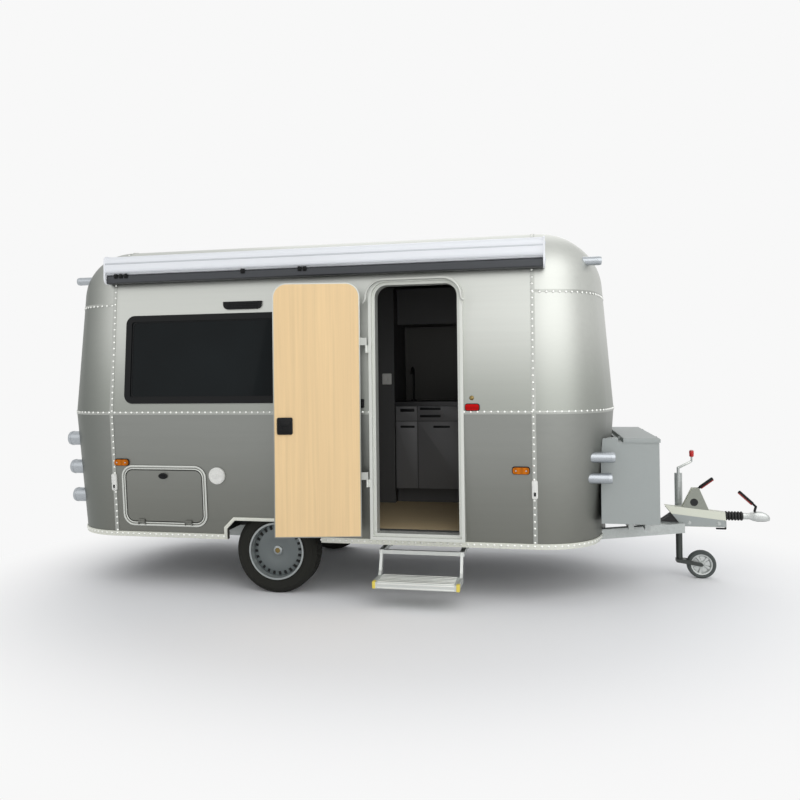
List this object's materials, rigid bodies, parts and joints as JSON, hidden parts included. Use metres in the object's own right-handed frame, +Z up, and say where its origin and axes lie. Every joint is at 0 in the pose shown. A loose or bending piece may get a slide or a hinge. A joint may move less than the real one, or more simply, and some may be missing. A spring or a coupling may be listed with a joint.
{
  "type": "travel trailer",
  "caption": "Short riveted aluminium travel trailer with rounded ends, open entry door, fold-out step, side awning, drawbar storage box and jockey wheel.",
  "frame": {"origin": "on the ground, at the middle of the parked trailer's footprint", "axes": "+X forward to the coupling, +Y to the trailer's left, +Z up"},
  "size_m": [5.693, 2.3347, 2.74],
  "materials": {
    "skin": "satin",
    "sill": "satin",
    "galvanised": "satin",
    "black_plastic": "matte",
    "grey_plastic": "matte",
    "awning_enamel": "satin",
    "dark_glass": "gloss",
    "tyre": "matte",
    "wheel_paint": "satin",
    "red_lens": "gloss",
    "amber_lens": "gloss",
    "chrome_lamp": "gloss",
    "pale_wood": "satin",
    "floor_board": "satin",
    "counter": "satin",
    "housing_paint": "satin",
    "cast_silver": "satin",
    "rubber": "matte"
  },
  "bodies": {
    "trailer": {"side_right_lower": "skin", "side_right_upper": "skin", "side_left_lower": "skin", "side_left_upper": "skin", "end_front_lower": "skin", "end_front_upper": "skin", "end_rear_lower": "skin", "end_rear_upper": "skin", "roof_middle": "skin", "roof_domes": "skin", "floor_pan": "floor_board", "sill_rail": "sill", "chassis_rails": "galvanised", "chassis_cross_members": "galvanised", "drawbar_beams": "galvanised", "axle": "galvanised", "door_frame": "sill", "window_frames": "black_plastic", "window_panes": "dark_glass", "locker_frame": "sill", "rear_lamps": "red_lens", "front_lamps": "chrome_lamp", "clearance_lamps": "chrome_lamp", "side_markers": "amber_lens", "seam_lamps": "grey_plastic", "entry_lamp": "red_lens", "awning_cassette": "awning_enamel", "awning_lead_rail": "black_plastic", "awning_end_caps": "grey_plastic", "step_guides": "galvanised", "storage_box": "skin", "overrun_housing": "housing_paint", "overrun_bellows": "rubber", "coupling_head": "cast_silver", "hitch_levers": "black_plastic", "jockey_tube": "galvanised", "jockey_crank": "galvanised", "kitchen_cabinet": "pale_wood", "kitchen_counter": "counter", "cabin_lockers": "pale_wood", "kitchen_tap": "black_plastic", "side_slot": "grey_plastic", "service_cap": "grey_plastic"},
    "wheel_right": {"wheel_right_tyre": "tyre", "wheel_right_rim": "wheel_paint"},
    "wheel_left": {"wheel_left_tyre": "tyre", "wheel_left_rim": "wheel_paint"},
    "entry_door": {"door_leaf": "skin", "door_lining": "pale_wood", "door_lock": "grey_plastic", "door_hinges_moving": "cast_silver"},
    "locker_hatch": {"locker_hatch": "skin"},
    "storage_lid": {"storage_lid": "skin"},
    "step": {"step_carriage": "sill", "step_tread": "sill"},
    "jockey_leg": {"jockey_leg": "galvanised"},
    "jockey_fork": {"jockey_fork": "galvanised"},
    "jockey_wheel": {"jockey_wheel": "rubber"}
  },
  "joints": [
    {"name": "wheel_right_spin", "type": "hinge", "parent": "trailer", "child": "wheel_right", "pos_m": [-0.9105, -0.70861, 0.325], "axis": [0, 1, 0], "continuous": true},
    {"name": "wheel_left_spin", "type": "hinge", "parent": "trailer", "child": "wheel_left", "pos_m": [-0.9105, 0.94139, 0.325], "axis": [0, 1, 0], "continuous": true},
    {"name": "entry_door_swing", "type": "hinge", "parent": "trailer", "child": "entry_door", "pos_m": [-0.1475, -0.95761, 1.4265], "axis": [0, 0, 1], "range_deg": [0, 168]},
    {"name": "locker_hatch_drop", "type": "hinge", "parent": "trailer", "child": "locker_hatch", "pos_m": [-1.8065, -0.87564, 0.5364], "axis": [1, 0, 0], "range_deg": [0, 150]},
    {"name": "storage_lid_lift", "type": "hinge", "parent": "trailer", "child": "storage_lid", "pos_m": [1.6815, 0.11639, 1.181], "axis": [0, -1, 0], "range_deg": [0, 80]},
    {"name": "step_slide", "type": "slide", "parent": "trailer", "child": "step", "axis": [0, 1, 0], "range_m": [0, 0.27]},
    {"name": "jockey_leg_slide", "type": "slide", "parent": "trailer", "child": "jockey_leg", "axis": [0, 0, 1], "range_m": [0, 0.15]},
    {"name": "jockey_fork_swivel", "type": "hinge", "parent": "jockey_leg", "child": "jockey_fork", "pos_m": [2.1935, 0.26639, 0.152], "axis": [0, 0, 1], "continuous": true},
    {"name": "jockey_wheel_spin", "type": "hinge", "parent": "jockey_fork", "child": "jockey_wheel", "pos_m": [2.3615, 0.26639, 0.1125], "axis": [0, 1, 0], "continuous": true}
  ]
}
